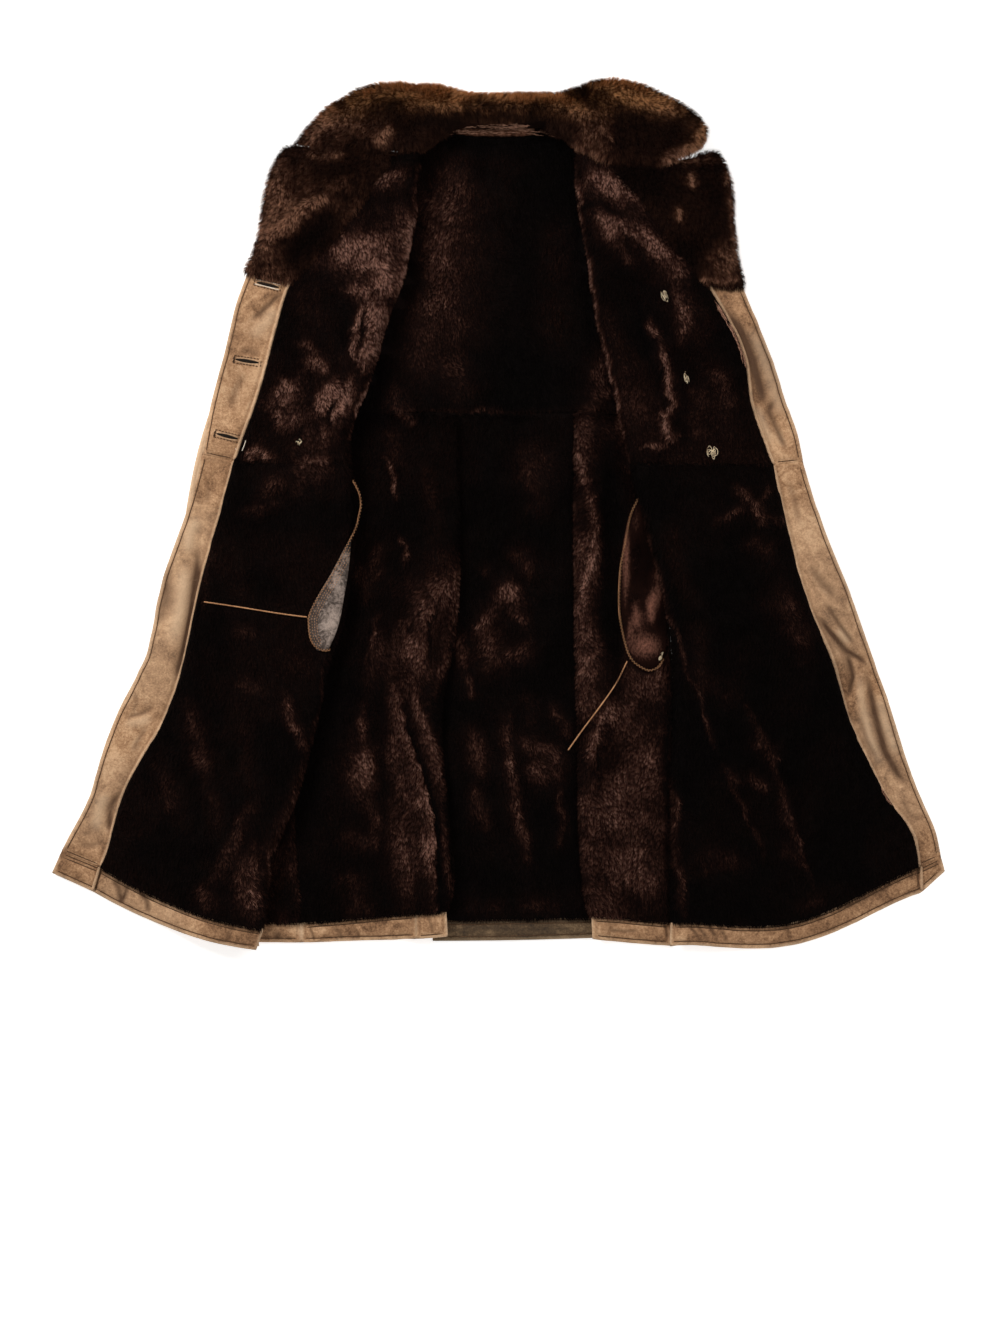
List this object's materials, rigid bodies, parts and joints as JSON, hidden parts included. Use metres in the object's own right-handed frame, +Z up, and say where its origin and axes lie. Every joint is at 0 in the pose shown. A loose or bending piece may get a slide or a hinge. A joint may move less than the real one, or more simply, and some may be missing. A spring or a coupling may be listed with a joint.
{
  "type": "shearling coat",
  "caption": "Knee-length double-breasted shearling coat laid open on its back, fur side up, with leather front facings and hem and a rolled fur collar.",
  "frame": {"origin": "middle of the outline, on the surface that the coat lies on", "axes": "+Z up from the floor, +Y towards the collar, +X towards the wearer's left side"},
  "size_m": [1.118, 1.088, 0.0422],
  "materials": {
    "fur_brown": "clipped sheepskin pile, dark brown",
    "fur_collar": "clipped sheepskin pile, golden brown at the tips",
    "leather_tan": "distressed tan hide",
    "leather_dark": "distressed olive-brown hide",
    "pocket_leather": "smooth grey-brown leather",
    "pocket_suede": "red-brown suede",
    "thread": "twisted thread",
    "horn": "dark horn"
  },
  "bodies": {
    "root": {"back_skirt_centre": "fur_brown", "back_skirt_left": "fur_brown", "back_skirt_right": "fur_brown", "back_upper": "fur_brown", "button_left": "horn", "button_right_low": "horn", "button_right_middle": "horn", "button_right_top": "horn", "collar": "fur_collar", "facing_left_lower": "leather_tan", "facing_left_upper": "leather_tan", "facing_right_lower": "leather_tan", "facing_right_upper": "leather_tan", "front_left_skirt": "fur_brown", "front_left_upper": "fur_brown", "front_right_skirt": "fur_brown", "front_right_upper": "fur_brown", "hem_back_centre": "leather_dark", "hem_back_left": "leather_tan", "hem_back_left_turn": "leather_tan", "hem_back_right": "leather_tan", "hem_front_left": "leather_tan", "hem_front_left_under": "leather_tan", "hem_front_right": "leather_tan", "hem_side_left": "leather_tan", "lapel_left": "fur_collar", "lapel_right": "fur_collar", "neck_binding": "leather_tan", "pocket_bag_left": "pocket_leather", "pocket_bag_right": "pocket_suede", "pocket_cord_left": "thread", "pocket_cord_right": "thread", "pocket_knot_right": "thread", "side_piece_left": "fur_brown", "sleeve_left": "leather_tan", "sleeve_right": "leather_tan", "stay_knot_left": "thread", "stay_knot_right_low": "thread", "stay_knot_right_middle": "thread", "stay_knot_right_top": "thread"}
  },
  "joints": []
}
